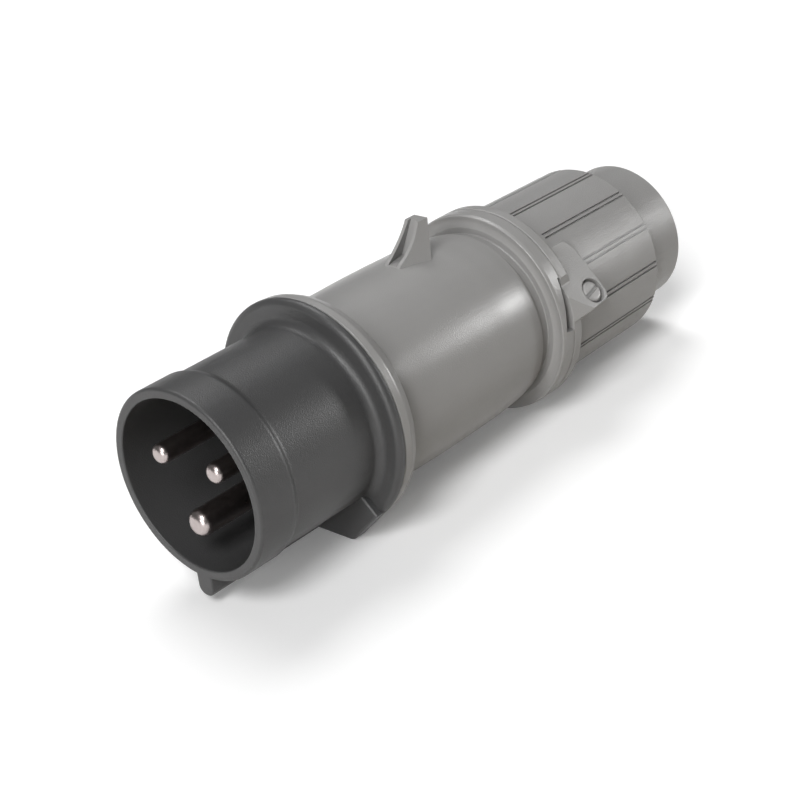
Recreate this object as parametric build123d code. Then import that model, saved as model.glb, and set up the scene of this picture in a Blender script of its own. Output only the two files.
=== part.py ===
from build123d import *
import math
import os

# Industrial pin and sleeve plug, 32 A, two poles and earth, splash proof.
# Millimetres. The plug's axis is Y. The pins point to -Y and the cable leaves to +Y.
# +Z is up, through the retaining lug. The origin is on the axis, level with the front of the
# flange's squared foot.

# Driving dimensions of the contact shroud
SHROUD_R = 28.75            # outside, at the mouth
SHROUD_WALL = 3.0           # at the mouth
SHROUD_DRAFT = 0.5          # the bore is this much narrower at the floor
SHROUD_STEP = 0.85          # the sleeve is this much slimmer behind its mouth band
SHROUD_LENGTH = 44.5        # from the origin to the rim
MOUTH_BAND = 12.4           # from the rim to the step
STEP_RUN = 1.6
STEP_ROUNDING = 2.5
RIM_ROUNDING = 0.9
FLOOR_FRONT_Y = 2.0
FLOOR_THICKNESS = 6.0
FLANGE_FRONT_Y = 2.2
FLANGE_REAR_Y = 4.5
FLANGE_OVERHANG = 0.2       # beyond the housing's ring
FLANGE_ROUNDING = 1.9
FLANGE_COVE = 2.6           # hollow between sleeve and flange
FOOT_DROP = 0.9             # foot's flat below the flange's lowest point
FOOT_SPREAD_DEG = 45.0      # where the foot's sides leave the flange, from straight down
FOOT_ROUNDING = 2.5
FOOT_BEVEL = 0.8
SPIGOT_INSET = 2.25         # spigot inside the sleeve's outer radius
SPIGOT_LENGTH = 11.5
SPIGOT_WALL = 2.1
KEY_WIDTH = 6.0
KEY_HEIGHT = 5.95           # below the sleeve
KEY_ROUNDING = 2.8

# Driving dimensions of the contacts
PIN_CIRCLE_R = 12.5
PHASE_PIN_R = 3.0
EARTH_PIN_R = 4.0
LINE_PIN_DEG = 30.0
NEUTRAL_PIN_DEG = 150.0
EARTH_PIN_DEG = 270.0
PIN_RECESS = 0.4            # from the rim to the pins' tips
PIN_TIP_ROUNDING = 0.65     # share of the pin's radius
PIN_ROOT_EXTRA = 0.4        # the pins are thicker where they pass the floor
PIN_ROOT_STAND = 0.3        # and just in front of it
PIN_SHOULDER_THICKNESS = 2.5
PIN_SHOULDER_EXTRA = 1.0    # beyond the terminal barrel
PIN_BORE_CLEARANCE = 0.05
TERMINAL_LENGTH = 22.5
PHASE_TERMINAL_R = 5.5
EARTH_TERMINAL_R = 6.1
WIRE_HOLE_R = 3.3
WIRE_HOLE_DEPTH = 15.0
TERMINAL_SCREW_R = 2.0
TERMINAL_SCREW_HEAD_R = 3.2
TERMINAL_SCREW_HEAD = 2.4
TERMINAL_SCREW_PITCH = 7.0
TERMINAL_SCREW_STAND = 2.0  # head's underside above the barrel
SLOT_WIDTH = 0.9
SLOT_DEPTH = 0.9
CLAMP_WIDTH = 4.2
CLAMP_THICKNESS = 1.0
CLAMP_LENGTH = 12.6

# Driving dimensions of the pin retainer
RETAINER_PLAY = 0.6         # inside the spigot
RETAINER_THICKNESS = 4.5
FIN_THICKNESS = 2.0
FIN_LENGTH = 21.0
FIN_FROM_R = 4.6            # clear of the screw's head
RETAINER_SCREW_R = 2.0
RETAINER_SCREW_HEAD_R = 3.6
RETAINER_SCREW_HEAD = 2.6
RETAINER_SCREW_BITE = 4.5   # into the floor

# Driving dimensions of the housing
HOUSING_PLAY = 0.2          # round the spigot
HOUSING_WALL = 2.7
GASKET_THICKNESS = 0.5
GASKET_INSET = 0.7          # the dark line between flange and housing
RING_HEIGHT = 5.6           # above the barrel
RING_TAPER = 1.5
RING_LENGTH = 5.9
BARREL_LENGTH = 57.0        # from the ring's front to the shoulder
BARREL_CROWN = 0.5          # the barrel's belly
SHOULDER_LENGTH = 9.0
SHOULDER_DROP = 0.7
SHOULDER_EDGE = 4.4         # from there to the crisp edge before the collar
SHOULDER_EDGE_DROP = 1.5
VALLEY_DEPTH = 3.1          # between that edge and the collar
COLLAR_FROM_SHOULDER = 8.7
COLLAR_HEIGHT = 3.0
COLLAR_FACE_INSET = 3.9     # width of the collar's hollow front face
COLLAR_FACE_HOLLOW = 0.6
COLLAR_LENGTH = 5.3
COLLAR_ROUNDING = 0.4
NOTCH_FROM_DEG = -1.0
NOTCH_TO_DEG = 29.0
NOTCH_R = 3.2               # of the round cutter that makes it
NOTCH_LEAN_DEG = 9.0        # the notch widens downwards
THREAD_INSET = 3.8          # thread inside the barrel's radius
NECK_WALL = 3.7
NECK_LENGTH = 21.0
LUG_TOP = 11.0              # above the barrel
LUG_FRONT = 19.8            # from the barrel's end to the lug's toes
LUG_RUN = 12.0              # from the toes to the front of its top
LUG_TOP_LENGTH = 4.1
LUG_LEAN = 4.0              # the rear face overhangs its heel
LUG_TOE_HALF_WIDTH = 3.0
LUG_HEEL_HALF_WIDTH = 6.1
LUG_TOP_HALF_WIDTH = 2.6
LUG_HOLLOW = 1.5            # depth of the scoop in its front edges
LUG_WALL = 1.25
LUG_BACK_WALL = 2.7
BOSS_INSET = 3.3            # boss axis inside the retainer's edge
BOSS_R = 3.3
BOSS_LENGTH = 22.0
BOSS_GAP = 0.2
BODY_SCREW_R = 1.6
BODY_SCREW_HEAD_R = 2.9
BODY_SCREW_HEAD = 2.3
BODY_SCREW_TIP_GAP = 0.3    # to the bottom of its hole

# Driving dimensions of the gland nut
SCREW_PLAY = 0.4            # between neck and nut, radial
NUT_JOINT_GAP = 0.25        # between collar and nut
NUT_FLANGE_LENGTH = 4.2
NUT_WALL = 3.2
GRIP_LENGTH = 49.0          # from the nut's front face
GRIP_TAPER = 0.6
NUT_TAIL_LENGTH = 20.5
NUT_TAIL_STEP = 5.6
NUT_TAIL_WALL = 2.8
NUT_WEB_FROM_GRIP_END = 5.1
NUT_WEB_THICKNESS = 5.8
NUT_WEB_WIDTH = 5.7         # the web's hole is this much smaller than the recess
NUT_BORE_SHORT = 4.9        # the bore ends before the grip does
GROOVE_PAIRS = 14
GROOVE_PHASE_DEG = 3.2
GROOVE_WIDTH = 0.75
GROOVE_DEPTH = 0.8
GROOVE_SPACING = 1.5
GROOVE_START = 8.0          # from the nut's front face
NECK_SEAL_SECTION_R = 1.15
NECK_SEAL_PLACE = 4.0       # from the collar's rear face

# Driving dimensions of the locking plate on the nut
PLATE_DEG = 40.0            # direction of its face
PLATE_HEIGHT = 0.8          # of its face over the grip
PLATE_UPPER = 3.4           # reach from the foot of the perpendicular, upwards
PLATE_LOWER = 19.5          # and downwards
PLATE_LENGTH = 15.3         # from the nut's front face
PLATE_REACH = 6.4           # how far its corner stands over the grip
PLATE_FRONT_SLOPE = 6.2     # length over which its front rises from the collar
PLATE_ROUNDING = 0.5
LIP_END = 7.0               # where the nut's lip dies into the face, downwards
LOCK_SCREW_V = -14.6        # along the face, from the foot of the perpendicular
LOCK_SCREW_PLACE = 10.3     # from the nut's front face
LOCK_SCREW_HEAD_R = 3.45
LOCK_SCREW_HEAD = 1.6
LOCK_SCREW_DOME = 1.1
LOCK_SCREW_R = 1.75
LOCK_SCREW_PLAY = 0.08
LOCK_SCREW_SLOT = 1.2
LOCK_SCREW_SLOT_DEG = 103.0
LOCK_RECESS_R = 4.1
LOCK_RECESS = 1.7

# Driving dimensions of the clamp and seal stack
CAGE_PLAY = 0.2
CAGE_WALL = 2.8
CAGE_LIP_WIDTH = 3.9
CAGE_LIP = 1.8
CAGE_SPIGOT_LENGTH = 10.6
CAGE_FLANGE_PLAY = 1.1
CAGE_FLANGE = 2.5
CLAW_COUNT = 12
CLAW_SLOT = 2.2
CLAW_ROOT_DROP = 2.3        # claws' root inside the cage's flange
CLAW_CONE_DROP = 5.0
CLAW_CONE_FROM_GRIP_END = -4.3
CLAW_CONE_LENGTH = 8.0
CLAW_THICKNESS = 4.4
SLIP_RING_WALL = 1.4
SLIP_RING_PLAY = 0.3
SEAL_WALL = 6.5
SEAL_CORE_WALL = 3.1
SEAL_LENGTH = 25.5
SEAL_PLAY = 0.1

# Radii that follow from the sizes above
SHROUD_NECK_R = SHROUD_R - SHROUD_STEP
SHROUD_MOUTH_R = SHROUD_R - SHROUD_WALL
SHROUD_FLOOR_R = SHROUD_MOUTH_R - SHROUD_DRAFT
SPIGOT_R = SHROUD_R - SPIGOT_INSET
SPIGOT_BORE_R = SPIGOT_R - SPIGOT_WALL
RETAINER_R = SPIGOT_BORE_R - RETAINER_PLAY
BOSS_CIRCLE_R = RETAINER_R - BOSS_INSET
HOUSING_BORE_R = SPIGOT_R + HOUSING_PLAY
BARREL_R = HOUSING_BORE_R + HOUSING_WALL
RING_R = BARREL_R + RING_HEIGHT
FLANGE_R = RING_R + FLANGE_OVERHANG
FOOT_Z = -(FLANGE_R + FOOT_DROP)
SHOULDER_R = BARREL_R - SHOULDER_DROP
SHOULDER_EDGE_R = BARREL_R - SHOULDER_EDGE_DROP
VALLEY_R = BARREL_R - VALLEY_DEPTH
COLLAR_R = BARREL_R + COLLAR_HEIGHT
COLLAR_FACE_R = COLLAR_R - COLLAR_FACE_INSET
THREAD_R = BARREL_R - THREAD_INSET
NECK_BORE_R = THREAD_R - NECK_WALL
NUT_BORE_R = THREAD_R + SCREW_PLAY
GRIP_ROOT_R = NUT_BORE_R + NUT_WALL
GRIP_END_R = GRIP_ROOT_R - GRIP_TAPER
NUT_TAIL_R = GRIP_END_R - NUT_TAIL_STEP
NUT_RECESS_R = NUT_TAIL_R - NUT_TAIL_WALL
NUT_EXIT_R = NUT_RECESS_R - NUT_WEB_WIDTH
PLATE_FACE = GRIP_ROOT_R + PLATE_HEIGHT
PLATE_CORNER_R = GRIP_ROOT_R + PLATE_REACH
SEAL_GROOVE_R = NUT_BORE_R - 0.2 - 2 * NECK_SEAL_SECTION_R
CAGE_SPIGOT_R = NECK_BORE_R - CAGE_PLAY
CAGE_BORE_R = CAGE_SPIGOT_R - CAGE_WALL
CAGE_LIP_R = CAGE_BORE_R - CAGE_LIP_WIDTH
CAGE_FLANGE_R = NUT_BORE_R - CAGE_FLANGE_PLAY
CLAW_ROOT_R = CAGE_FLANGE_R - CLAW_ROOT_DROP
CLAW_TIP_R = CLAW_ROOT_R - CLAW_CONE_DROP
CLAW_GRIP_R = CLAW_TIP_R - CLAW_THICKNESS
SEAL_R = CAGE_BORE_R - CAGE_PLAY
SEAL_SPLIT_R = SEAL_R - SEAL_WALL
SEAL_BORE_R = SEAL_SPLIT_R - SEAL_PLAY - SEAL_CORE_WALL

# Places along the axis that follow from the sizes above
RIM_Y = -SHROUD_LENGTH
STEP_Y = RIM_Y + MOUTH_BAND
PIN_TIP_Y = RIM_Y + PIN_RECESS
PIN_ROOT_Y = FLOOR_FRONT_Y - PIN_ROOT_STAND
FLOOR_REAR_Y = FLOOR_FRONT_Y + FLOOR_THICKNESS
SPIGOT_END_Y = FLANGE_REAR_Y + SPIGOT_LENGTH
BOSS_HOLE_END_Y = FLOOR_REAR_Y + BOSS_GAP + BOSS_LENGTH - 3.0
TERMINAL_Y = FLOOR_REAR_Y + PIN_SHOULDER_THICKNESS
TERMINAL_END_Y = TERMINAL_Y + TERMINAL_LENGTH
RETAINER_REAR_Y = TERMINAL_Y + RETAINER_THICKNESS
HOUSING_FRONT_Y = FLANGE_REAR_Y + GASKET_THICKNESS
RING_REAR_Y = HOUSING_FRONT_Y + RING_LENGTH
BARREL_END_Y = HOUSING_FRONT_Y + BARREL_LENGTH
BARREL_CROWN_Y = HOUSING_FRONT_Y + 0.58 * BARREL_LENGTH
SHOULDER_Y = BARREL_END_Y + SHOULDER_LENGTH
SHOULDER_EDGE_Y = SHOULDER_Y + SHOULDER_EDGE
COLLAR_FRONT_Y = SHOULDER_Y + COLLAR_FROM_SHOULDER
COLLAR_REAR_Y = COLLAR_FRONT_Y + COLLAR_LENGTH
NECK_SEAL_Y = COLLAR_REAR_Y + NECK_SEAL_PLACE
NECK_END_Y = COLLAR_REAR_Y + NECK_LENGTH
LUG_FRONT_Y = BARREL_END_Y - LUG_FRONT
LUG_TIP_Y = LUG_FRONT_Y + LUG_RUN
LUG_REAR_Y = LUG_TIP_Y + LUG_TOP_LENGTH
LUG_TOP_Z = BARREL_R + LUG_TOP
NUT_FRONT_Y = COLLAR_REAR_Y + NUT_JOINT_GAP
GRIP_ROOT_Y = NUT_FRONT_Y + NUT_FLANGE_LENGTH
GRIP_END_Y = NUT_FRONT_Y + GRIP_LENGTH
NUT_END_Y = GRIP_END_Y + NUT_TAIL_LENGTH
NUT_BORE_END_Y = GRIP_END_Y - NUT_BORE_SHORT
NUT_WEB_Y = GRIP_END_Y + NUT_WEB_FROM_GRIP_END
NUT_WEB_REAR_Y = NUT_WEB_Y + NUT_WEB_THICKNESS
LOCK_SCREW_Y = NUT_FRONT_Y + LOCK_SCREW_PLACE
CAGE_FRONT_Y = NECK_END_Y - CAGE_SPIGOT_LENGTH
SEAL_FRONT_Y = CAGE_FRONT_Y + CAGE_LIP
CLAW_CONE_Y = GRIP_END_Y + CLAW_CONE_FROM_GRIP_END
CLAW_TIP_Y = CLAW_CONE_Y + CLAW_CONE_LENGTH
CONTACTS = {
    "line": (LINE_PIN_DEG, PHASE_PIN_R, PHASE_TERMINAL_R),
    "neutral": (NEUTRAL_PIN_DEG, PHASE_PIN_R, PHASE_TERMINAL_R),
    "earth": (EARTH_PIN_DEG, EARTH_PIN_R, EARTH_TERMINAL_R),
}
FIN_ANGLES = [90.0, 210.0, 330.0]
BOSS_ANGLES = [210.0, 330.0]


def outline(corners):
    """Closed face in the XY plane from (x, y) or (x, y, rounding) corners."""
    edges = []
    ends = []
    for index, corner in enumerate(corners):
        here = Vector(corner[0], corner[1])
        rounding = corner[2] if len(corner) == 3 else 0
        if rounding == 0:
            ends.append((here, here))
            continue
        before = corners[index - 1]
        after = corners[(index + 1) % len(corners)]
        back = (Vector(before[0], before[1]) - here).normalized()
        ahead = (Vector(after[0], after[1]) - here).normalized()
        half_angle = math.radians(back.get_angle(ahead)) / 2
        reach = rounding / math.tan(half_angle)
        middle = (back + ahead).normalized() * (rounding / math.sin(half_angle) - rounding)
        edges.append(ThreePointArc(here + back * reach, here + middle, here + ahead * reach))
        ends.append((here + back * reach, here + ahead * reach))
    for index, (_, leaving) in enumerate(ends):
        arriving = ends[(index + 1) % len(ends)][0]
        if (arriving - leaving).length > 0.001:
            edges.append(Line(leaving, arriving))
    return make_face(edges)


def lathe(*corners):
    """Solid of revolution about Y from (radius, y) or (radius, y, rounding) corners."""
    return revolve(outline(corners), Axis.Y)


def rod(radius, low_y, high_y, x=0.0, z=0.0):
    """Round bar along Y between two places."""
    return extrude(Plane.XZ.offset(-low_y) * Pos(x, z) * Circle(radius), -(high_y - low_y))


def slab(low, high):
    """Box between two corners."""
    size = [b - a for a, b in zip(low, high)]
    centre = [(a + b) / 2 for a, b in zip(low, high)]
    return Pos(*centre) * Box(*size)


def turned(shape, angle_deg):
    """Shape turned about the plug's axis, from the +X side towards +Z."""
    return Rot(0, -angle_deg, 0) * shape


def cheese_screw(head_r, head, shank_r, shank):
    """Slotted cheese-head screw along +Z: head's underside at 0, head above, shank below."""
    body = Pos(0, 0, head / 2) * Cylinder(head_r, head)
    body = fillet(body.edges().group_by(Axis.Z)[-1], head * 0.18)
    body += Pos(0, 0, -shank / 2) * Cylinder(shank_r, shank)
    return body - Pos(0, 0, head - SLOT_DEPTH / 2) * Box(3 * head_r, SLOT_WIDTH, SLOT_DEPTH)


# Contact shroud: one dark moulding with its sleeve, floor, flange, foot and key

def make_contact_shroud():
    body = lathe(
        (0, FLOOR_FRONT_Y),
        (SHROUD_FLOOR_R, FLOOR_FRONT_Y, 1.0),
        (SHROUD_MOUTH_R, RIM_Y, RIM_ROUNDING / 2),
        (SHROUD_R, RIM_Y, RIM_ROUNDING),
        (SHROUD_R, STEP_Y, STEP_ROUNDING),
        (SHROUD_NECK_R, STEP_Y + STEP_RUN, STEP_ROUNDING),
        (SHROUD_NECK_R, FLANGE_FRONT_Y, FLANGE_COVE),
        (FLANGE_R, FLANGE_FRONT_Y, FLANGE_ROUNDING),
        (FLANGE_R, FLANGE_REAR_Y),
        (SPIGOT_R, FLANGE_REAR_Y),
        (SPIGOT_R, SPIGOT_END_Y, 0.5),
        (SPIGOT_BORE_R, SPIGOT_END_Y, 0.5),
        (SPIGOT_BORE_R, FLOOR_REAR_Y),
        (0, FLOOR_REAR_Y),
    )
    body = body + make_foot() + make_key()
    for angle, pin_r, _ in CONTACTS.values():
        root_r = pin_r + PIN_ROOT_EXTRA + PIN_BORE_CLEARANCE
        body -= turned(rod(root_r, FLOOR_FRONT_Y - 1, FLOOR_REAR_Y + 1, PIN_CIRCLE_R), angle)
    for angle in BOSS_ANGLES:
        counterbore = rod(BODY_SCREW_HEAD_R + 0.3, FLOOR_FRONT_Y - 1,
                          FLOOR_FRONT_Y + BODY_SCREW_HEAD + 0.6, BOSS_CIRCLE_R)
        hole = rod(BODY_SCREW_R + 0.15, FLOOR_FRONT_Y, FLOOR_REAR_Y + 1, BOSS_CIRCLE_R)
        body = body - turned(counterbore, angle) - turned(hole, angle)
    return body - rod(RETAINER_SCREW_R, FLOOR_REAR_Y - RETAINER_SCREW_BITE, FLOOR_REAR_Y + 1)


def make_foot():
    """Squared bottom of the flange: a flat between two sides that run on from its circle."""
    spread = math.radians(FOOT_SPREAD_DEG)
    side_x = FLANGE_R * math.sin(spread)
    side_z = -FLANGE_R * math.cos(spread)
    half_width = (FLANGE_R + FOOT_Z * math.cos(spread)) / math.sin(spread)
    face = outline([
        (0, 0), (-side_x, side_z), (-half_width, FOOT_Z, FOOT_ROUNDING),
        (half_width, FOOT_Z, FOOT_ROUNDING), (side_x, side_z),
    ])
    inner_r = SHROUD_NECK_R - 1
    foot = extrude(Plane.XZ * (face - Circle(inner_r)), -FLANGE_REAR_Y)
    front_edges = foot.edges().group_by(Axis.Y)[0]
    return fillet([edge for edge in front_edges if edge.center().length > inner_r + 0.5], FOOT_BEVEL)


def make_key():
    """Round-bottomed rib along the sleeve that lets the plug enter its socket one way only."""
    key = slab((-KEY_WIDTH / 2, RIM_Y, -SHROUD_R - KEY_HEIGHT), (KEY_WIDTH / 2, 1.0, -SHROUD_NECK_R + 1.2))
    key = fillet(key.edges().filter_by(Axis.Y).group_by(Axis.Z)[0], KEY_ROUNDING)
    nose_edges = key.edges().group_by(Axis.Y)[0]
    return fillet([edge for edge in nose_edges if edge.center().Z < -SHROUD_R], 0.5)


def make_flange_gasket():
    return lathe((SPIGOT_R + 0.4, FLANGE_REAR_Y), (RING_R - GASKET_INSET, FLANGE_REAR_Y),
                 (RING_R - GASKET_INSET, HOUSING_FRONT_Y), (SPIGOT_R + 0.4, HOUSING_FRONT_Y))


# Contacts: turned pins with a shoulder behind the floor and a drilled terminal barrel

def make_pin(pin_r, terminal_r):
    root_r = pin_r + PIN_ROOT_EXTRA
    shoulder_r = terminal_r + PIN_SHOULDER_EXTRA
    pin = lathe(
        (0, PIN_TIP_Y),
        (pin_r, PIN_TIP_Y, pin_r * PIN_TIP_ROUNDING),
        (pin_r, PIN_ROOT_Y),
        (root_r, PIN_ROOT_Y),
        (root_r, FLOOR_REAR_Y),
        (shoulder_r, FLOOR_REAR_Y, 0.4),
        (shoulder_r, TERMINAL_Y, 0.4),
        (terminal_r, TERMINAL_Y),
        (terminal_r, TERMINAL_END_Y, 0.6),
        (WIRE_HOLE_R, TERMINAL_END_Y, 0.4),
        (WIRE_HOLE_R, TERMINAL_END_Y - WIRE_HOLE_DEPTH),
        (0, TERMINAL_END_Y - WIRE_HOLE_DEPTH - WIRE_HOLE_R * 0.5),
    )
    for y in terminal_screw_places():
        hole = Cylinder(TERMINAL_SCREW_R, terminal_r, align=(Align.CENTER, Align.CENTER, Align.MIN))
        pin -= Pos(0, y, 0) * Rot(0, 90, 0) * hole
    return pin


def terminal_screw_places():
    middle = TERMINAL_END_Y - WIRE_HOLE_DEPTH / 2
    return (middle - TERMINAL_SCREW_PITCH / 2, middle + TERMINAL_SCREW_PITCH / 2)


def at_contact(shape, angle):
    return turned(Pos(PIN_CIRCLE_R, 0, 0) * shape, angle)


def make_terminal_screws():
    screws = []
    for angle, _, terminal_r in CONTACTS.values():
        head_x = terminal_r + TERMINAL_SCREW_STAND
        shank = head_x - WIRE_HOLE_R + CLAMP_THICKNESS
        screw = cheese_screw(TERMINAL_SCREW_HEAD_R, TERMINAL_SCREW_HEAD,
                             TERMINAL_SCREW_R - PIN_BORE_CLEARANCE, shank)
        for y in terminal_screw_places():
            screws.append(at_contact(Pos(head_x, y, 0) * Rot(0, 90, 0) * screw, angle))
    return screws


def make_wire_clamp():
    """Plate under the terminal screws, inside the wire hole."""
    middle = TERMINAL_END_Y - WIRE_HOLE_DEPTH / 2
    outer_x = WIRE_HOLE_R - CLAMP_THICKNESS
    plate = slab((outer_x - CLAMP_THICKNESS, middle - CLAMP_LENGTH / 2, -CLAMP_WIDTH / 2),
                 (outer_x, middle + CLAMP_LENGTH / 2, CLAMP_WIDTH / 2))
    return fillet(plate.edges().filter_by(Axis.X), CLAMP_THICKNESS * 0.8)


def make_pin_retainer():
    """Plate that traps the pins' shoulders, with fins that keep the wires apart."""
    body = lathe((0, FLOOR_REAR_Y), (RETAINER_R, FLOOR_REAR_Y), (RETAINER_R, RETAINER_REAR_Y, 0.6),
                 (0, RETAINER_REAR_Y))
    for angle in FIN_ANGLES:
        fin = slab((FIN_FROM_R, RETAINER_REAR_Y - 0.5, -FIN_THICKNESS / 2),
                   (BOSS_CIRCLE_R - BOSS_R - 1.6, RETAINER_REAR_Y + FIN_LENGTH, FIN_THICKNESS / 2))
        body += turned(fillet(fin.edges().filter_by(Axis.Z).group_by(Axis.Y)[-1], 3.0), angle)
    for angle, _, terminal_r in CONTACTS.values():
        shoulder_r = terminal_r + PIN_SHOULDER_EXTRA
        body -= turned(rod(terminal_r + 0.1, FLOOR_REAR_Y, RETAINER_REAR_Y + 1, PIN_CIRCLE_R), angle)
        body -= turned(rod(shoulder_r + 0.2, FLOOR_REAR_Y - 1, TERMINAL_Y, PIN_CIRCLE_R), angle)
    for angle in BOSS_ANGLES:
        gap = slab((BOSS_CIRCLE_R - BOSS_R - 0.4, FLOOR_REAR_Y - 1, -BOSS_R - 0.4),
                   (RETAINER_R + 1, RETAINER_REAR_Y + 1, BOSS_R + 0.4))
        body -= turned(gap, angle)
    return body - rod(RETAINER_SCREW_R + 0.1, FLOOR_REAR_Y - 1, RETAINER_REAR_Y + 1)


def make_retainer_screw():
    shank = RETAINER_REAR_Y - FLOOR_REAR_Y + RETAINER_SCREW_BITE - 0.5
    screw = cheese_screw(RETAINER_SCREW_HEAD_R, RETAINER_SCREW_HEAD, RETAINER_SCREW_R - 0.05, shank)
    return Pos(0, RETAINER_REAR_Y, 0) * Rot(-90, 0, 0) * screw


# Housing: ring, barrel, collar and threaded neck in one moulding, with the retaining lug on top

def make_housing():
    neck_start_y = SHOULDER_Y - 4
    body = lathe(
        (HOUSING_BORE_R, HOUSING_FRONT_Y, 0.5),
        (RING_R, HOUSING_FRONT_Y, 0.4),
        (RING_R, HOUSING_FRONT_Y + RING_LENGTH * 0.45, 2.0),
        (RING_R - RING_TAPER, RING_REAR_Y, 1.0),
        (BARREL_R, RING_REAR_Y, 1.0),
        (BARREL_R + BARREL_CROWN, BARREL_CROWN_Y, 600),
        (BARREL_R, BARREL_END_Y, 60),
        (SHOULDER_R, SHOULDER_Y, 20),
        (SHOULDER_EDGE_R, SHOULDER_EDGE_Y, 0.6),
        (VALLEY_R, SHOULDER_EDGE_Y + 1.6, 0.8),
        (VALLEY_R, COLLAR_FRONT_Y + 0.3, 0.4),
        (COLLAR_FACE_R, COLLAR_FRONT_Y - 0.1, COLLAR_ROUNDING),
        (COLLAR_R - COLLAR_FACE_INSET / 2, COLLAR_FRONT_Y + COLLAR_FACE_HOLLOW, 4),
        (COLLAR_R - 0.3, COLLAR_FRONT_Y, COLLAR_ROUNDING),
        (COLLAR_R, COLLAR_FRONT_Y + 1.2, 0.8),
        (COLLAR_R, COLLAR_REAR_Y, 0.3),
        (THREAD_R, COLLAR_REAR_Y, 0.5),
        (THREAD_R, NECK_END_Y, 0.6),
        (NECK_BORE_R, NECK_END_Y, 0.4),
        (NECK_BORE_R, COLLAR_FRONT_Y, 6),
        (HOUSING_BORE_R, neck_start_y, 10),
    )
    half_groove = NECK_SEAL_SECTION_R + 0.2
    body -= lathe((SEAL_GROOVE_R, NECK_SEAL_Y - half_groove), (COLLAR_R, NECK_SEAL_Y - half_groove),
                  (COLLAR_R, NECK_SEAL_Y + half_groove), (SEAL_GROOVE_R, NECK_SEAL_Y + half_groove))
    body -= make_collar_notch()
    body += make_retaining_lug()
    for angle in BOSS_ANGLES:
        front_y = FLOOR_REAR_Y + BOSS_GAP
        boss = rod(BOSS_R, front_y, front_y + BOSS_LENGTH, BOSS_CIRCLE_R)
        web = slab((BOSS_CIRCLE_R, SPIGOT_END_Y + 0.6, -1.2), (HOUSING_BORE_R + 0.8, front_y + BOSS_LENGTH, 1.2))
        hole = rod(BODY_SCREW_R, front_y - 1, BOSS_HOLE_END_Y, BOSS_CIRCLE_R)
        body = body + turned(boss, angle) + turned(web, angle) - turned(hole, angle)
    return body


def make_collar_notch():
    """Scoop in the collar's rear edge beside the nut's locking plate, wider at its lower end."""
    half_span = (NOTCH_TO_DEG - NOTCH_FROM_DEG) / 2
    section = Pos(COLLAR_R + 0.7, COLLAR_REAR_Y + 0.8) * Circle(NOTCH_R)
    cutter = turned(revolve(section, Axis.Y, 2 * half_span), half_span)
    leaning = Pos(0, COLLAR_REAR_Y, 0) * Rot(-NOTCH_LEAN_DEG, 0, 0) * Pos(0, -COLLAR_REAR_Y, 0) * cutter
    return turned(leaning, NOTCH_FROM_DEG + half_span)


def make_retaining_lug():
    """Hook that the socket's lid catches: it leans back and is open in front and on top."""
    channel = lug_block(LUG_WALL, LUG_BACK_WALL) & slab((-LUG_HEEL_HALF_WIDTH, 0, BARREL_R + BARREL_CROWN),
                                                        (LUG_HEEL_HALF_WIDTH, LUG_REAR_Y, LUG_TOP_Z))
    chord = math.hypot(LUG_RUN, LUG_TOP)
    hollow = ((LUG_FRONT_Y + LUG_TIP_Y) / 2 + LUG_HOLLOW * LUG_TOP / chord,
              (BARREL_R + LUG_TOP_Z) / 2 - LUG_HOLLOW * LUG_RUN / chord)
    scoop = make_face([
        ThreePointArc((LUG_FRONT_Y, BARREL_R), hollow, (LUG_TIP_Y, LUG_TOP_Z)),
        Line((LUG_TIP_Y, LUG_TOP_Z), (LUG_FRONT_Y - 3, LUG_TOP_Z)),
        Line((LUG_FRONT_Y - 3, LUG_TOP_Z), (LUG_FRONT_Y - 3, BARREL_R)),
        Line((LUG_FRONT_Y - 3, BARREL_R), (LUG_FRONT_Y, BARREL_R)),
    ])
    return lug_block(0, 0) - channel - extrude(Plane.YZ * scoop, LUG_HEEL_HALF_WIDTH, both=True)


def lug_block(wall, back_wall):
    """Tapered block of the lug, or of the channel in it where walls are given."""
    heel_y = LUG_REAR_Y - LUG_LEAN
    ends = []
    for z, front_x, front_y, rear_x, rear_y in (
            (BARREL_R - 1.5, LUG_TOE_HALF_WIDTH, LUG_FRONT_Y, LUG_HEEL_HALF_WIDTH, heel_y),
            (LUG_TOP_Z, LUG_TOP_HALF_WIDTH, LUG_TIP_Y, LUG_TOP_HALF_WIDTH, LUG_REAR_Y)):
        flare = (rear_x - front_x) / (rear_y - front_y)
        open_x = front_x - wall - flare * wall
        back_x = rear_x - wall - flare * back_wall
        ends.append(Plane((0, 0, z)) * make_face(Polyline(
            (-open_x, front_y - wall), (-back_x, rear_y - back_wall),
            (back_x, rear_y - back_wall), (open_x, front_y - wall), close=True)))
    return loft([end.face() for end in ends], ruled=True)


def make_body_screws():
    head_y = FLOOR_FRONT_Y + BODY_SCREW_HEAD + 0.6
    shank = BOSS_HOLE_END_Y - BODY_SCREW_TIP_GAP - head_y
    screw = cheese_screw(BODY_SCREW_HEAD_R, BODY_SCREW_HEAD, BODY_SCREW_R - 0.05, shank)
    placed = Pos(BOSS_CIRCLE_R, head_y, 0) * Rot(90, 0, 0) * screw
    return [turned(placed, angle) for angle in BOSS_ANGLES]


def make_neck_seal():
    section = Pos(NUT_BORE_R - 0.2 - NECK_SEAL_SECTION_R, NECK_SEAL_Y) * Circle(NECK_SEAL_SECTION_R)
    return revolve(section, Axis.Y)


# Gland nut: ribbed grip with a flange, an inner cone and the plate for the locking screw

def plate_point(distance, v):
    """Place in the XZ plane at a distance along the plate's direction and v across it."""
    angle = math.radians(PLATE_DEG)
    return (distance * math.cos(angle) - v * math.sin(angle),
            distance * math.sin(angle) + v * math.cos(angle))


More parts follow.
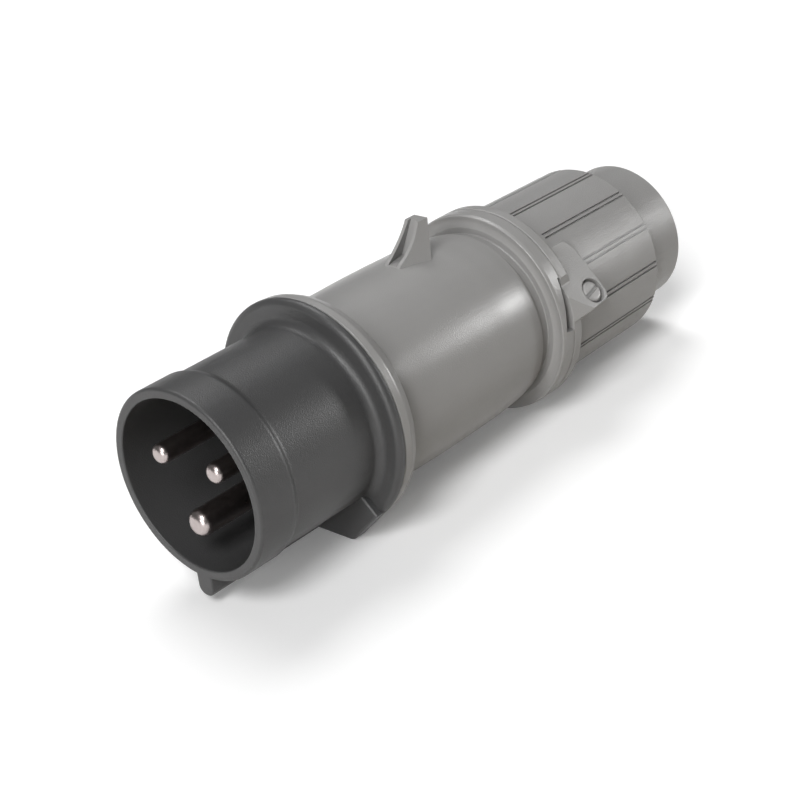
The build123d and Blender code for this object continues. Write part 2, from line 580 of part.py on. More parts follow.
def plate_frame(distance, v, y):
    """Frame with Z out of the locking plate, X along -v and Y along the plug."""
    x, z = plate_point(distance, v)
    angle = math.radians(PLATE_DEG)
    return Plane(origin=(x, y, z), x_dir=(math.sin(angle), 0, -math.cos(angle)),
                 z_dir=(math.cos(angle), 0, math.sin(angle)))


def make_gland_nut():
    ring_room = 2 * SLIP_RING_PLAY + SLIP_RING_WALL + 0.6
    body = lathe(
        (NUT_BORE_R, NUT_FRONT_Y, 0.4),
        (COLLAR_R, NUT_FRONT_Y, 0.5),
        (COLLAR_R, GRIP_ROOT_Y, 1.2),
        (GRIP_ROOT_R, GRIP_ROOT_Y, 0.8),
        (GRIP_END_R, GRIP_END_Y, 0.5),
        (NUT_TAIL_R + 0.6, GRIP_END_Y + 2.2, 1.5),
        (NUT_TAIL_R, NUT_END_Y, 0.8),
        (NUT_RECESS_R, NUT_END_Y, 0.5),
        (NUT_RECESS_R - 0.3, NUT_WEB_REAR_Y, 1.0),
        (NUT_EXIT_R, NUT_WEB_REAR_Y, 1.0),
        (NUT_EXIT_R, NUT_WEB_Y, 0.5),
        (CLAW_TIP_R + ring_room, NUT_WEB_Y),
        (CLAW_TIP_R + ring_room, CLAW_TIP_Y + 0.6),
        (CLAW_ROOT_R + ring_room, NUT_BORE_END_Y),
        (NUT_BORE_R, NUT_BORE_END_Y - 2),
    )
    body = body - make_grip_grooves()
    lip_cut = outline([(LIP_END - 1.5, 2.5), (LIP_END + 1.5, 0, 1.0), (PLATE_LOWER, 0), (PLATE_LOWER, 6),
                       (LIP_END - 1.5, 6)])
    cutter = extrude(Plane.XZ.offset(1 - NUT_FRONT_Y) * lip_cut, -(NUT_FLANGE_LENGTH + 3))
    body = body - plate_frame(PLATE_FACE, 0, 0) * cutter + make_locking_plate()
    screw_frame = plate_frame(PLATE_FACE - LOCK_RECESS, LOCK_SCREW_V, LOCK_SCREW_Y)
    body -= screw_frame * Pos(0, 0, 4) * Cylinder(LOCK_RECESS_R, 8)
    return body - screw_frame * Pos(0, 0, -5) * Cylinder(LOCK_SCREW_R + LOCK_SCREW_PLAY, 10)


def make_grip_grooves():
    """Pairs of fine grooves that part the grip into panels."""
    from_y = NUT_FRONT_Y + GROOVE_START
    to_y = GRIP_END_Y + 2
    slope = GRIP_TAPER / (GRIP_END_Y - GRIP_ROOT_Y)
    middle_y = (from_y + to_y) / 2
    middle_r = GRIP_ROOT_R - slope * (middle_y - GRIP_ROOT_Y)
    cutter = Rot(0, 0, math.degrees(slope)) * Box(2 * GROOVE_DEPTH, to_y - from_y, GROOVE_WIDTH)
    grooves = []
    for pair in range(GROOVE_PAIRS):
        angle = GROOVE_PHASE_DEG + pair * 360.0 / GROOVE_PAIRS
        for side in (-1, 1):
            grooves.append(turned(Pos(middle_r, middle_y, side * GROOVE_SPACING / 2) * cutter, angle))
    return grooves


def make_locking_plate():
    """Flat plate beside the nut's flange, standing off the grip at its lower corner."""
    base = NUT_BORE_R * 0.6
    rear_y = NUT_FRONT_Y + PLATE_LENGTH
    face = outline([
        (-PLATE_UPPER, NUT_FRONT_Y), (-PLATE_UPPER, rear_y - 3.0, 1.5), (0, rear_y - 1.0, 4.0),
        (PLATE_LOWER * 0.65, rear_y, 20.0), (PLATE_LOWER - 0.7, rear_y, 3.0),
        (PLATE_LOWER, rear_y - 8.0, 4.0), (PLATE_LOWER, NUT_FRONT_Y),
    ])
    plate = extrude(plate_frame(base, 0, 0) * face, PLATE_FACE - base)
    angle = math.radians(PLATE_DEG)
    outward = Axis((0, 0, 0), (math.cos(angle), 0, math.sin(angle)))
    plate = fillet(plate.faces().sort_by(outward)[-1].edges(), PLATE_ROUNDING)
    shell = lathe((NUT_BORE_R + 0.8, NUT_FRONT_Y), (COLLAR_R, NUT_FRONT_Y, 0.5),
                  (PLATE_CORNER_R, NUT_FRONT_Y + PLATE_FRONT_SLOPE, 2.0), (PLATE_CORNER_R, rear_y + 1),
                  (NUT_BORE_R + 0.8, rear_y + 1))
    return plate & shell


def make_lock_screw():
    """Domed screw whose shank stops the nut on the neck."""
    under_head = PLATE_FACE - LOCK_RECESS
    shank_v = abs(LOCK_SCREW_V) - LOCK_SCREW_R
    shank_end = math.sqrt((NUT_BORE_R + 0.2) ** 2 - shank_v ** 2)
    screw = Pos(0, 0, LOCK_SCREW_HEAD / 2) * Cylinder(LOCK_SCREW_HEAD_R, LOCK_SCREW_HEAD)
    screw = fillet(screw.edges().group_by(Axis.Z)[-1], LOCK_SCREW_DOME)
    shank = under_head - shank_end
    screw += Pos(0, 0, -shank / 2) * Cylinder(LOCK_SCREW_R, shank)
    screw -= Pos(0, 0, LOCK_SCREW_HEAD) * Box(3 * LOCK_SCREW_HEAD_R, LOCK_SCREW_SLOT, 2 * SLOT_DEPTH)
    return plate_frame(under_head, LOCK_SCREW_V, LOCK_SCREW_Y) * Rot(0, 0, LOCK_SCREW_SLOT_DEG) * screw


# Cable clamp and seal, inside the nut

def make_clamp_cage():
    body = lathe(
        (CAGE_LIP_R, CAGE_FRONT_Y, 0.4),
        (CAGE_SPIGOT_R, CAGE_FRONT_Y, 0.4),
        (CAGE_SPIGOT_R, NECK_END_Y),
        (CAGE_FLANGE_R, NECK_END_Y, 0.4),
        (CAGE_FLANGE_R, NECK_END_Y + CAGE_FLANGE, 0.4),
        (CLAW_ROOT_R, NECK_END_Y + CAGE_FLANGE),
        (CLAW_ROOT_R, CLAW_CONE_Y),
        (CLAW_TIP_R, CLAW_TIP_Y, 0.6),
        (CLAW_GRIP_R, CLAW_TIP_Y, 0.6),
        (CLAW_GRIP_R, CLAW_TIP_Y - 5.5, 1.0),
        (CAGE_BORE_R, SEAL_FRONT_Y + SEAL_LENGTH + 1.5),
        (CAGE_BORE_R, SEAL_FRONT_Y),
        (CAGE_LIP_R, SEAL_FRONT_Y),
    )
    slot = slab((0, NECK_END_Y + CAGE_FLANGE + 1, -CLAW_SLOT / 2),
                (CLAW_ROOT_R + 2, CLAW_TIP_Y + 1, CLAW_SLOT / 2))
    return body - [turned(slot, index * 360.0 / CLAW_COUNT) for index in range(CLAW_COUNT)]


def make_slip_ring():
    inner = SLIP_RING_PLAY + 0.2
    outer = inner + SLIP_RING_WALL
    return lathe((CLAW_ROOT_R + inner, CLAW_CONE_Y + 0.4), (CLAW_ROOT_R + outer, CLAW_CONE_Y + 0.4),
                 (CLAW_TIP_R + outer, CLAW_TIP_Y + 0.4), (CLAW_TIP_R + inner, CLAW_TIP_Y + 0.4))


def make_cable_seal():
    return lathe((SEAL_SPLIT_R, SEAL_FRONT_Y + SEAL_PLAY, 0.4), (SEAL_R, SEAL_FRONT_Y + SEAL_PLAY, 0.6),
                 (SEAL_R, SEAL_FRONT_Y + SEAL_LENGTH, 1.5), (SEAL_SPLIT_R, SEAL_FRONT_Y + SEAL_LENGTH, 0.4))


def make_seal_core():
    """Inner ring of the seal, pulled out for a thicker cable."""
    outer_r = SEAL_SPLIT_R - SEAL_PLAY
    return lathe((SEAL_BORE_R, SEAL_FRONT_Y + SEAL_PLAY, 0.5), (outer_r, SEAL_FRONT_Y + SEAL_PLAY, 0.3),
                 (outer_r, SEAL_FRONT_Y + SEAL_LENGTH, 0.3), (SEAL_BORE_R, SEAL_FRONT_Y + SEAL_LENGTH, 0.5))


def write(name, shape):
    solids = shape if isinstance(shape, list) else [shape]
    loose = [solid for item in solids for solid in item.solids()]
    result = loose[0] if len(loose) == 1 else Compound(children=loose)
    result.label = name
    export_step(result, os.path.join("parts", name + ".step"))


def main():
    os.makedirs("parts", exist_ok=True)
    write("contact_shroud", make_contact_shroud())
    write("flange_gasket", make_flange_gasket())
    write("pin_retainer", make_pin_retainer())
    for name, (angle, pin_r, terminal_r) in CONTACTS.items():
        write(name + "_pin", at_contact(make_pin(pin_r, terminal_r), angle))
        write(name + "_wire_clamp", at_contact(make_wire_clamp(), angle))
    write("terminal_screws", make_terminal_screws())
    write("retainer_screw", make_retainer_screw())
    write("housing", make_housing())
    write("body_screws", make_body_screws())
    write("neck_seal", make_neck_seal())
    write("gland_nut", make_gland_nut())
    write("lock_screw", make_lock_screw())
    write("clamp_cage", make_clamp_cage())
    write("slip_ring", make_slip_ring())
    write("cable_seal", make_cable_seal())
    write("seal_core", make_seal_core())


main()
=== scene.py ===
import math

import bmesh
import bpy
from mathutils import Matrix, Vector


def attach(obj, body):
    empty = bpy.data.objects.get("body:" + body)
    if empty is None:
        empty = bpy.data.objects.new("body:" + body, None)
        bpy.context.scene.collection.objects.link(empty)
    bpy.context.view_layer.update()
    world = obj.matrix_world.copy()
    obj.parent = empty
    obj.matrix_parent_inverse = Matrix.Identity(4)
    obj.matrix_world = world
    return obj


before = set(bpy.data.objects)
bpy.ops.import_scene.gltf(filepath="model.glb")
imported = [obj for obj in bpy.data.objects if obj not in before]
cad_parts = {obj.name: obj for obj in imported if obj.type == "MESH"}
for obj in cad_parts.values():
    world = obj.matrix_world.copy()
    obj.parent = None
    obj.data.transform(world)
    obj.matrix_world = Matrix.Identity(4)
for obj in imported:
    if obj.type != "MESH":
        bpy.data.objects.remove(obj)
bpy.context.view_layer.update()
MM = 0.001


# The photographer's camera
# A normal-to-long lens looks down on the plug from its front right, with a slight roll.
# The figures were solved from the rings and pins of the plug itself.
CAMERA_AZIMUTH = 45.15
CAMERA_ELEVATION = 26.30
CAMERA_ROLL = -7.50
CAMERA_DISTANCE = 526.8 * MM
CAMERA_SIDEWAYS = 24.83 * MM
CAMERA_UPWARDS = 3.55 * MM
CAMERA_AIM = Vector((0, 4.5 * MM, 0))
SENSOR_WIDTH = 36.0         # mm, as the lens is
FOCAL_PIXELS = 1849.8
PICTURE_PIXELS = 800
CLIP_START = 10 * MM


def away_from_plug(azimuth, elevation):
    """Direction from the plug, with azimuth 0 in front of its pins and 90 on its right."""
    a, e = math.radians(azimuth), math.radians(elevation)
    return Vector((math.sin(a) * math.cos(e), -math.cos(a) * math.cos(e), math.sin(e)))


def place_camera():
    azimuth, roll = math.radians(CAMERA_AZIMUTH), math.radians(CAMERA_ROLL)
    back = away_from_plug(CAMERA_AZIMUTH, CAMERA_ELEVATION)
    level = Vector((math.cos(azimuth), math.sin(azimuth), 0))
    upright = back.cross(level)
    right = level * math.cos(roll) + upright * math.sin(roll)
    up = upright * math.cos(roll) - level * math.sin(roll)
    data = bpy.data.cameras.new("camera")
    data.sensor_width = SENSOR_WIDTH
    data.lens = FOCAL_PIXELS / PICTURE_PIXELS * SENSOR_WIDTH
    data.clip_start = CLIP_START
    camera = bpy.data.objects.new("camera", data)
    bpy.context.scene.collection.objects.link(camera)
    turn = Matrix((right, up, back)).transposed()
    place = CAMERA_AIM + back * CAMERA_DISTANCE + right * CAMERA_SIDEWAYS + up * CAMERA_UPWARDS
    camera.matrix_world = Matrix.Translation(place) @ turn.to_4x4()
    bpy.context.scene.camera = camera


place_camera()
bpy.context.scene.view_settings.view_transform = "Standard"


# Studio floor: a seamless white sweep, on which the plug rests with its foot and its nut
# It leans, because the foot stands lower than the nut's flange. Seen directly or in a gloss it
# is white, and the light that it throws back under the plug is that of a grey card.
FOOT_PLACE = Vector((0, 4.5 * MM, -36.1 * MM))
NUT_PLACE = Vector((0, 88.2 * MM, -32.4 * MM))
FLOOR_SIZE = 8.0
PAPER_WHITE = "#ffffff"
PAPER_UNDER_PLUG = "#968e80"
PAPER_LIFT = 0.10           # light of its own, where it is seen


def linear(code):
    """sRGB hex colour as the linear colour that a shader takes."""
    parts = [int(code[i:i + 2], 16) / 255 for i in (1, 3, 5)]
    return tuple(c / 12.92 if c <= 0.04045 else ((c + 0.055) / 1.055) ** 2.4 for c in parts) + (1.0,)


def add(tree, kind, inputs=None, **settings):
    """Adds a node with its settings, and gives its inputs values or links."""
    node = tree.nodes.new(kind)
    for name, value in settings.items():
        setattr(node, name, value)
    for name, value in (inputs or {}).items():
        if isinstance(value, bpy.types.NodeSocket):
            tree.links.new(value, node.inputs[name])
        else:
            node.inputs[name].default_value = value
    return node


def empty_material(name):
    material = bpy.data.materials.new(name)
    material.use_nodes = True
    material.node_tree.nodes.clear()
    return material, material.node_tree


def make_floor():
    lean = math.atan2(NUT_PLACE.z - FOOT_PLACE.z, NUT_PLACE.y - FOOT_PLACE.y)
    material, tree = empty_material("white_paper_sweep")
    rays = add(tree, "ShaderNodeLightPath")
    seen = add(tree, "ShaderNodeMath", {0: rays.outputs["Is Camera Ray"],
                                        1: rays.outputs["Is Glossy Ray"]}, operation="MAXIMUM").outputs[0]
    paper = add(tree, "ShaderNodeMix", {"Factor": seen, "A": linear(PAPER_UNDER_PLUG),
                                        "B": linear(PAPER_WHITE)}, data_type="RGBA")
    diffuse = add(tree, "ShaderNodeBsdfDiffuse", {"Color": paper.outputs["Result"]})
    lift = add(tree, "ShaderNodeMath", {0: seen, 1: PAPER_LIFT}, operation="MULTIPLY")
    glow = add(tree, "ShaderNodeEmission", {"Strength": lift.outputs[0]})
    both = add(tree, "ShaderNodeAddShader", {0: diffuse.outputs[0], 1: glow.outputs[0]})
    add(tree, "ShaderNodeOutputMaterial", {"Surface": both.outputs[0]})
    mesh = bpy.data.meshes.new("floor")
    half = FLOOR_SIZE / 2
    corners = ((-half, -half, 0), (half, -half, 0), (half, half, 0), (-half, half, 0))
    turn = Matrix.Rotation(lean, 3, "X")
    mesh.from_pydata([FOOT_PLACE + turn @ Vector(c) for c in corners], [], [(0, 1, 2, 3)])
    mesh.materials.append(material)
    floor = bpy.data.objects.new("floor", mesh)
    bpy.context.scene.collection.objects.link(floor)


make_floor()


# Studio light: a pale room, three broad lamps and a gloss card
# The key lamp stands left of the camera and above it, the front lamp looks into the sleeve, and
# the high lamp is behind on the left. The gloss card is low behind on the right, and only draws
# highlights.
ROOM_LIGHT = 0.14
LAMPS = {
    "key_lamp": {"azimuth": 27, "elevation": 47, "spread": 24, "strength": 1.75},
    "front_lamp": {"azimuth": 20, "elevation": 12, "spread": 30, "strength": 1.3},
    "high_lamp": {"azimuth": -120, "elevation": 62, "spread": 30, "strength": 1.25},
}
LAMP_DISTANCE = 2.0         # of no effect, because the lamps are suns
GLOSS_CARD = {"azimuth": 146, "elevation": 14.5, "distance": 1.2,
              "width": 0.20, "height": 0.12, "watts": 5.6}
LIGHT_AIM = Vector((0, 45 * MM, 0))


def make_room():
    world = bpy.data.worlds.new("white_room")
    bpy.context.scene.world = world
    world.use_nodes = True
    tree = world.node_tree
    tree.nodes.clear()
    rays = add(tree, "ShaderNodeLightPath")
    level = add(tree, "ShaderNodeMapRange", {"Value": rays.outputs["Is Camera Ray"], "To Min": ROOM_LIGHT,
                                             "To Max": 1.0})
    light = add(tree, "ShaderNodeBackground", {"Color": linear(PAPER_WHITE), "Strength": level.outputs[0]})
    add(tree, "ShaderNodeOutputWorld", {"Surface": light.outputs[0]})


def hang_lamp(name, data, azimuth, elevation, distance):
    """Lamp object in that direction from the plug, turned to face it."""
    away = away_from_plug(azimuth, elevation)
    lamp = bpy.data.objects.new(name, data)
    lamp.location = LIGHT_AIM + away * distance
    lamp.rotation_mode = "QUATERNION"
    lamp.rotation_quaternion = (-away).to_track_quat("-Z", "Y")
    bpy.context.scene.collection.objects.link(lamp)
    return lamp


def make_broad_lamp(name, azimuth, elevation, spread, strength):
    data = bpy.data.lights.new(name, "SUN")
    data.angle = math.radians(spread)
    data.energy = strength
    hang_lamp(name, data, azimuth, elevation, LAMP_DISTANCE)


def make_gloss_card(azimuth, elevation, distance, width, height, watts):
    data = bpy.data.lights.new("gloss_card", "AREA")
    data.shape = "RECTANGLE"
    data.size = width
    data.size_y = height
    data.energy = watts
    card = hang_lamp("gloss_card", data, azimuth, elevation, distance)
    card.visible_diffuse = False


make_room()
for lamp, place in LAMPS.items():
    make_broad_lamp(lamp, **place)
make_gloss_card(**GLOSS_CARD)


# Contact shroud: sleeve, floor, flange, foot and key in one dark grey moulding
# Glass-filled polyamide from a spark-eroded mould: a satin skin with a fine even grain, faint
# streaks along the flow from the flange to the rim, and a mottle where glass lies near the skin.
SPARK_GRAIN = 0.36 * MM     # drawn three times as coarse as it is, so that it shows
SHROUD_SPARK_DEPTH = 0.08 * MM
FINE_SPARK_DEPTH = 0.06 * MM
MOTTLE = 9.0 * MM
FLOW_STREAK = 2.2 * MM
FLOW_STRETCH = 14.0
POLYAMIDE_IOR = 1.53
DULLER = 0.05               # roughness added in the darkest patches
SHINIER = 0.04              # roughness taken off in the palest


def moulded_plastic(name, colour, darker, roughness, streaks=0.3, grain_depth=FINE_SPARK_DEPTH):
    """Material for a moulding that was filled along Y."""
    material, tree = empty_material(name)
    place = add(tree, "ShaderNodeTexCoord").outputs["Object"]
    mottle = add(tree, "ShaderNodeTexNoise", {"Vector": place, "Scale": 1 / MOTTLE, "Detail": 3.0})
    drawn_out = add(tree, "ShaderNodeMapping", {"Vector": place, "Scale": (1, 1 / FLOW_STRETCH, 1)})
    streak = add(tree, "ShaderNodeTexNoise", {"Vector": drawn_out.outputs[0], "Scale": 1 / FLOW_STREAK,
                                              "Detail": 2.0})
    blend = add(tree, "ShaderNodeMix", {"Factor": streaks, "A": mottle.outputs["Fac"],
                                        "B": streak.outputs["Fac"]})
    tint = add(tree, "ShaderNodeMix", {"Factor": blend.outputs["Result"], "A": linear(darker),
                                       "B": linear(colour)}, data_type="RGBA")
    sheen = add(tree, "ShaderNodeMapRange", {"Value": blend.outputs["Result"],
                                             "To Min": roughness + DULLER, "To Max": roughness - SHINIER})
    grain = add(tree, "ShaderNodeTexNoise", {"Vector": place, "Scale": 1 / SPARK_GRAIN, "Detail": 2.0})
    bump = add(tree, "ShaderNodeBump", {"Height": grain.outputs["Fac"], "Strength": 1.0,
                                        "Distance": grain_depth})
    skin = add(tree, "ShaderNodeBsdfPrincipled", {"Base Color": tint.outputs["Result"],
                                                  "Roughness": sheen.outputs[0], "IOR": POLYAMIDE_IOR,
                                                  "Normal": bump.outputs[0]})
    add(tree, "ShaderNodeOutputMaterial", {"Surface": skin.outputs[0]})
    return material


def finish_node(node, material):
    """Gives a solid of the frame its material."""
    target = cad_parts[node]
    target.data.materials.clear()
    target.data.materials.append(material)


dark_polyamide = moulded_plastic("dark_glass_filled_polyamide", "#464646", "#3e3e3f", roughness=0.40,
                                 grain_depth=SHROUD_SPARK_DEPTH)
finish_node("contact_shroud", dark_polyamide)


# Contacts: line, neutral and earth pins
# Turned from brass rod and nickel plated, so the shine is warm. The plating all but fills the
# fine rings left by the tool.
TOOL_FEED = 0.45 * MM       # drawn four times as coarse as it is
TOOL_DEPTH = 0.002 * MM
TOOL_STRENGTH = 0.02        # what the plating leaves of them
WAVE_PERIOD = math.pi / 10  # between two bands of the wave texture at scale 1
PLATE_CLOUD = 3.0 * MM
NICKEL_ROUGHNESS = (0.26, 0.32)


def nickel_plate():
    material, tree = empty_material("nickel_plated_brass")
    place = add(tree, "ShaderNodeTexCoord").outputs["Object"]
    cloud = add(tree, "ShaderNodeTexNoise", {"Vector": place, "Scale": 1 / PLATE_CLOUD, "Detail": 3.0})
    tint = add(tree, "ShaderNodeMix", {"Factor": cloud.outputs["Fac"], "A": linear("#b0a4a1"),
                                       "B": linear("#c6bdbb")}, data_type="RGBA")
    low, high = NICKEL_ROUGHNESS
    rub = add(tree, "ShaderNodeMapRange", {"Value": cloud.outputs["Fac"], "To Min": low, "To Max": high})
    rings = add(tree, "ShaderNodeTexWave", {"Vector": place, "Scale": WAVE_PERIOD / TOOL_FEED,
                                            "Distortion": 0.4, "Detail": 1.0}, bands_direction="Y")
    bump = add(tree, "ShaderNodeBump", {"Height": rings.outputs["Fac"], "Strength": TOOL_STRENGTH,
                                        "Distance": TOOL_DEPTH})
    skin = add(tree, "ShaderNodeBsdfPrincipled", {"Base Color": tint.outputs["Result"], "Metallic": 1.0,
                                                  "Roughness": rub.outputs[0], "Normal": bump.outputs[0]})
    add(tree, "ShaderNodeOutputMaterial", {"Surface": skin.outputs[0]})
    return material


nickel = nickel_plate()
for pin in ("line_pin", "neutral_pin", "earth_pin"):
    finish_node(pin, nickel)


# Terminal screws, wire clamps, retainer screw and body screws
# Cold-headed and stamped steel, zinc plated: a bluish shine, clouded by the fine crystals.
ZINC_CRYSTAL = 1.2 * MM
ZINC_ROUGHNESS = (0.26, 0.40)


def zinc_plate():
    material, tree = empty_material("zinc_plated_steel")
    place = add(tree, "ShaderNodeTexCoord").outputs["Object"]
    crystal = add(tree, "ShaderNodeTexVoronoi", {"Vector": place, "Scale": 1 / ZINC_CRYSTAL})
    tint = add(tree, "ShaderNodeMix", {"Factor": crystal.outputs["Distance"], "A": linear("#c9ccd0"),
                                       "B": linear("#a9adb2")}, data_type="RGBA")
    low, high = ZINC_ROUGHNESS
    rub = add(tree, "ShaderNodeMapRange", {"Value": crystal.outputs["Distance"], "To Min": low,
                                           "To Max": high})
    skin = add(tree, "ShaderNodeBsdfPrincipled", {"Base Color": tint.outputs["Result"], "Metallic": 1.0,
                                                  "Roughness": rub.outputs[0]})
    add(tree, "ShaderNodeOutputMaterial", {"Surface": skin.outputs[0]})
    return material


zinc = zinc_plate()
for fastener in ("line_wire_clamp", "neutral_wire_clamp", "earth_wire_clamp", "terminal_screws",
                 "retainer_screw", "body_screws"):
    finish_node(fastener, zinc)


# Pin retainer: the plate that traps the pins' shoulders, held by one screw
# Unpigmented polyamide, so it is cream, moulded with the same fine grain as the rest.
finish_node("pin_retainer", moulded_plastic("natural_polyamide", "#cfc8b8", "#c3bba9", roughness=0.40))


# Flange gasket and neck seal
# Die-cut and moulded nitrile rubber: almost black, dull, with a slight talc bloom.
RUBBER_GRAIN = 0.25 * MM
RUBBER_DEPTH = 0.012 * MM
RUBBER_ROUGHNESS = (0.55, 0.75)
RUBBER_IOR = 1.52
BLOOM = 5.0 * MM


def nitrile_rubber(name, colour, bloomed):
    material, tree = empty_material(name)
    place = add(tree, "ShaderNodeTexCoord").outputs["Object"]
    bloom = add(tree, "ShaderNodeTexNoise", {"Vector": place, "Scale": 1 / BLOOM, "Detail": 5.0})
    tint = add(tree, "ShaderNodeMix", {"Factor": bloom.outputs["Fac"], "A": linear(colour),
                                       "B": linear(bloomed)}, data_type="RGBA")
    grain = add(tree, "ShaderNodeTexNoise", {"Vector": place, "Scale": 1 / RUBBER_GRAIN, "Detail": 2.0})
    bump = add(tree, "ShaderNodeBump", {"Height": grain.outputs["Fac"], "Strength": 0.5,
                                        "Distance": RUBBER_DEPTH})
    low, high = RUBBER_ROUGHNESS
    rub = add(tree, "ShaderNodeMapRange", {"Value": bloom.outputs["Fac"], "To Min": low, "To Max": high})
    skin = add(tree, "ShaderNodeBsdfPrincipled", {"Base Color": tint.outputs["Result"], "IOR": RUBBER_IOR,
                                                  "Roughness": rub.outputs[0], "Normal": bump.outputs[0]})
    add(tree, "ShaderNodeOutputMaterial", {"Surface": skin.outputs[0]})
    return material


black_rubber = nitrile_rubber("black_nitrile_rubber", "#161616", "#222222")
finish_node("flange_gasket", black_rubber)
finish_node("neck_seal", black_rubber)


# Housing: ring, barrel, retaining lug, collar and threaded neck in one mid grey moulding
# The same polyamide in a smoother mould than the shroud's, so its highlights are tighter.
grey_polyamide = moulded_plastic("grey_polyamide", "#9b9a99", "#939291", roughness=0.30)
finish_node("housing", grey_polyamide)

# The neck's thread is a single ridge with sloping sides that climbs round it under the nut.
NECK_R = 25.6 * MM
NECK_THREAD_HEIGHT = 0.30 * MM
NECK_THREAD_SUNK = 0.10 * MM
NECK_THREAD_WIDTH = 1.3 * MM
NECK_THREAD_CREST = 0.4     # of its width
NECK_THREAD_PITCH = 3.0 * MM
NECK_THREAD_FROM = 92.0 * MM
NECK_THREAD_TO = 104.5 * MM
NECK_THREAD_STEPS = 72      # round one turn


def new_group(name, *sizes):
    """Geometry Nodes group with named inputs, given as (name, kind, default)."""
    group = bpy.data.node_groups.new(name, "GeometryNodeTree")
    group.interface.new_socket("Geometry", in_out="INPUT", socket_type="NodeSocketGeometry")
    for label, kind, default in sizes:
        socket = group.interface.new_socket(label, in_out="INPUT", socket_type="NodeSocket" + kind)
        socket.default_value = default
    group.interface.new_socket("Geometry", in_out="OUTPUT", socket_type="NodeSocketGeometry")
    return group, add(group, "NodeGroupInput").outputs


def finish_group(group, geometry, material):
    """Ends a group in Realize Instances, Set Material and its output."""
    real = add(group, "GeometryNodeRealizeInstances", {"Geometry": geometry})
    painted = add(group, "GeometryNodeSetMaterial", {"Geometry": real.outputs[0], "Material": material})
    add(group, "NodeGroupOutput", {"Geometry": painted.outputs[0]})


def made_by_group(name, group, start=None):
    """Plain mesh object that the group makes, with its place in its mesh."""
    source = bpy.data.objects.new(name + "_source", start or bpy.data.meshes.new(name + "_start"))
    bpy.context.scene.collection.objects.link(source)
    modifier = source.modifiers.new("shape", "NODES")
    modifier.node_group = group
    for socket in group.interface.items_tree:
        if socket.in_out == "INPUT" and socket.socket_type != "NodeSocketGeometry":
            modifier[socket.identifier] = socket.default_value
    evaluated = source.evaluated_get(bpy.context.evaluated_depsgraph_get())
    mesh = bpy.data.meshes.new_from_object(evaluated)
    source.modifiers.remove(modifier)
    bpy.data.objects.remove(source)
    piece = bpy.data.objects.new(name, mesh)
    bpy.context.scene.collection.objects.link(piece)
    return piece


def neck_thread_group():
    """Helix along +Y with a trapezoid drawn along it."""
    group, size = new_group(
        "neck_thread",
        ("Radius", "Float", NECK_R - NECK_THREAD_SUNK),
        ("Height", "Float", NECK_THREAD_HEIGHT + NECK_THREAD_SUNK),
        ("Width", "Float", NECK_THREAD_WIDTH), ("Pitch", "Float", NECK_THREAD_PITCH),
        ("Length", "Float", NECK_THREAD_TO - NECK_THREAD_FROM), ("Start", "Float", NECK_THREAD_FROM),
        ("Steps", "Int", NECK_THREAD_STEPS))
    turns = add(group, "ShaderNodeMath", {0: size["Length"], 1: size["Pitch"]}, operation="DIVIDE")
    helix = add(group, "GeometryNodeCurveSpiral", {
        "Resolution": size["Steps"], "Rotations": turns.outputs[0], "Start Radius": size["Radius"],
        "End Radius": size["Radius"], "Height": size["Length"]})
    upright = add(group, "GeometryNodeSetCurveNormal", {"Curve": helix.outputs[0]}, mode="Z_UP")
    crest = add(group, "ShaderNodeMath", {0: size["Width"], 1: NECK_THREAD_CREST}, operation="MULTIPLY")
    section = add(group, "GeometryNodeCurvePrimitiveQuadrilateral", {
        "Height": size["Height"], "Bottom Width": size["Width"], "Top Width": crest.outputs[0],
        "Offset": 0.0}, mode="TRAPEZOID")
    ridge = add(group, "GeometryNodeCurveToMesh", {"Curve": upright.outputs[0], "Fill Caps": True,
                                                   "Profile Curve": section.outputs[0]})
    place = add(group, "ShaderNodeCombineXYZ", {"Y": size["Start"]})
    laid = add(group, "GeometryNodeTransform", {"Geometry": ridge.outputs[0],
                                                "Translation": place.outputs[0],
                                                "Rotation": (-math.pi / 2, 0, 0)})
    finish_group(group, laid.outputs[0], grey_polyamide)
    return group


neck_thread = made_by_group("neck_thread", neck_thread_group())
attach(neck_thread, "plug_body")


# Gland nut and its locking screw
# Moulded in the housing's grey, with a coarser skin for grip. The screw is moulded too, and its
# slot takes a broad blade.
NUT_SPARK_DEPTH = 0.13 * MM

finish_node("gland_nut", moulded_plastic("grey_polyamide_nut", "#9b9a99", "#939291", roughness=0.33,
                                         grain_depth=NUT_SPARK_DEPTH))
finish_node("lock_screw", moulded_plastic("grey_polyamide_screw", "#a3a2a1", "#9b9a99", roughness=0.34,
                                          streaks=0.0))


# Clamp cage: twelve claws that the nut's cone closes on the cable
# Black polyamide, tougher than the housing's. Each claw has sharp ridges across the cable.
CLAW_COUNT = 12
CLAW_GRIP_R = 13.2 * MM
CLAW_SPREAD = 19.0          # degrees of one claw at its tip
CLAW_RIDGES = 3
CLAW_RIDGE_PITCH = 1.5 * MM
CLAW_RIDGE_HEIGHT = 0.55 * MM
CLAW_RIDGE_SUNK = 0.05 * MM
CLAW_RIDGE_FROM = 133.6 * MM
CLAW_RIDGE_STEPS = 6

black_polyamide = moulded_plastic("black_polyamide", "#232323", "#1b1b1b", roughness=0.42)
finish_node("clamp_cage", black_polyamide)


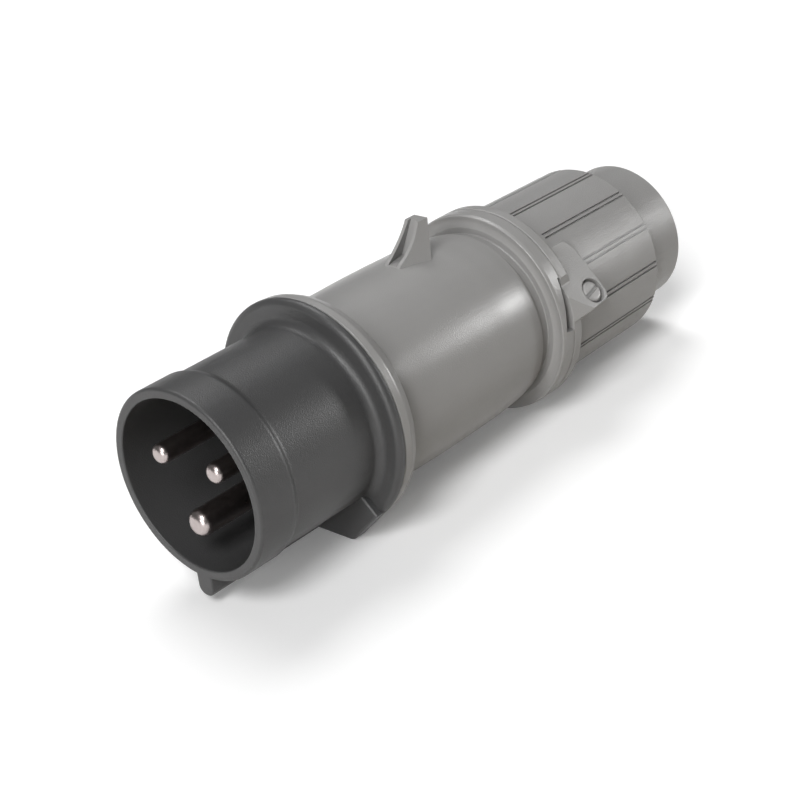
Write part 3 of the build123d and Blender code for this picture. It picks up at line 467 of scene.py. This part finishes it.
def one_ridge():
    """Ridge of triangular section across the inside of one claw, centred on the +X side."""
    form = bmesh.new()
    half_base = CLAW_RIDGE_PITCH / 2
    foot_r = CLAW_GRIP_R + CLAW_RIDGE_SUNK
    rows = []
    for step in range(CLAW_RIDGE_STEPS + 1):
        angle = math.radians(CLAW_SPREAD) * (step / CLAW_RIDGE_STEPS - 0.5)
        across = Vector((math.cos(angle), 0, math.sin(angle)))
        section = [across * foot_r + Vector((0, -half_base, 0)),
                   across * (CLAW_GRIP_R - CLAW_RIDGE_HEIGHT),
                   across * foot_r + Vector((0, half_base, 0))]
        rows.append([form.verts.new(corner) for corner in section])
    for low, high in zip(rows, rows[1:]):
        for side in range(3):
            form.faces.new((low[side], low[(side + 1) % 3], high[(side + 1) % 3], high[side]))
    form.faces.new(rows[0])
    form.faces.new(rows[-1])
    bmesh.ops.recalc_face_normals(form, faces=form.faces)
    mesh = bpy.data.meshes.new("claw_ridge")
    form.to_mesh(mesh)
    form.free()
    return mesh


def claw_ridges_group():
    """Rows of ridges, one row on each claw, round the +Y axis."""
    group, size = new_group(
        "claw_ridges", ("Claws", "Int", CLAW_COUNT), ("Ridges", "Int", CLAW_RIDGES),
        ("Pitch", "Float", CLAW_RIDGE_PITCH), ("Start", "Float", CLAW_RIDGE_FROM))
    pitch = add(group, "ShaderNodeCombineXYZ", {"Y": size["Pitch"]})
    start = add(group, "ShaderNodeCombineXYZ", {"Y": size["Start"]})
    row = add(group, "GeometryNodeMeshLine", {"Count": size["Ridges"], "Start Location": start.outputs[0],
                                              "Offset": pitch.outputs[0]})
    one_claw = add(group, "GeometryNodeInstanceOnPoints", {"Points": row.outputs[0],
                                                           "Instance": size["Geometry"]})
    stack = add(group, "GeometryNodeMeshLine", {"Count": size["Claws"], "Offset": (0, 0, 0)})
    number = add(group, "GeometryNodeInputIndex")
    middle = add(group, "ShaderNodeMath", {0: number.outputs[0], 1: 0.5}, operation="ADD")
    share = add(group, "ShaderNodeMath", {0: middle.outputs[0], 1: size["Claws"]}, operation="DIVIDE")
    angle = add(group, "ShaderNodeMath", {0: share.outputs[0], 1: math.tau}, operation="MULTIPLY")
    turn = add(group, "ShaderNodeCombineXYZ", {"Y": angle.outputs[0]})
    ring = add(group, "GeometryNodeInstanceOnPoints", {"Points": stack.outputs[0],
                                                       "Instance": one_claw.outputs[0],
                                                       "Rotation": turn.outputs[0]})
    finish_group(group, ring.outputs[0], black_polyamide)
    return group


claw_ridges = made_by_group("claw_ridges", claw_ridges_group(), one_ridge())
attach(claw_ridges, "plug_body")


# Slip ring: lets the nut's cone turn over the claws without dragging them
# Moulded acetal, smooth, slippery and milky white. It lies loose on the cone of the claws.
finish_node("slip_ring", moulded_plastic("white_acetal", "#dcdad2", "#d2d0c8", roughness=0.28,
                                         streaks=0.0))


# Cable seal and its core
# Two rings of soft nitrile rubber, one in the other, pushed into the cage. The core comes out
# for a thicker cable.
seal_rubber = nitrile_rubber("soft_seal_rubber", "#1b1b1b", "#272727")
finish_node("cable_seal", seal_rubber)
finish_node("seal_core", seal_rubber)
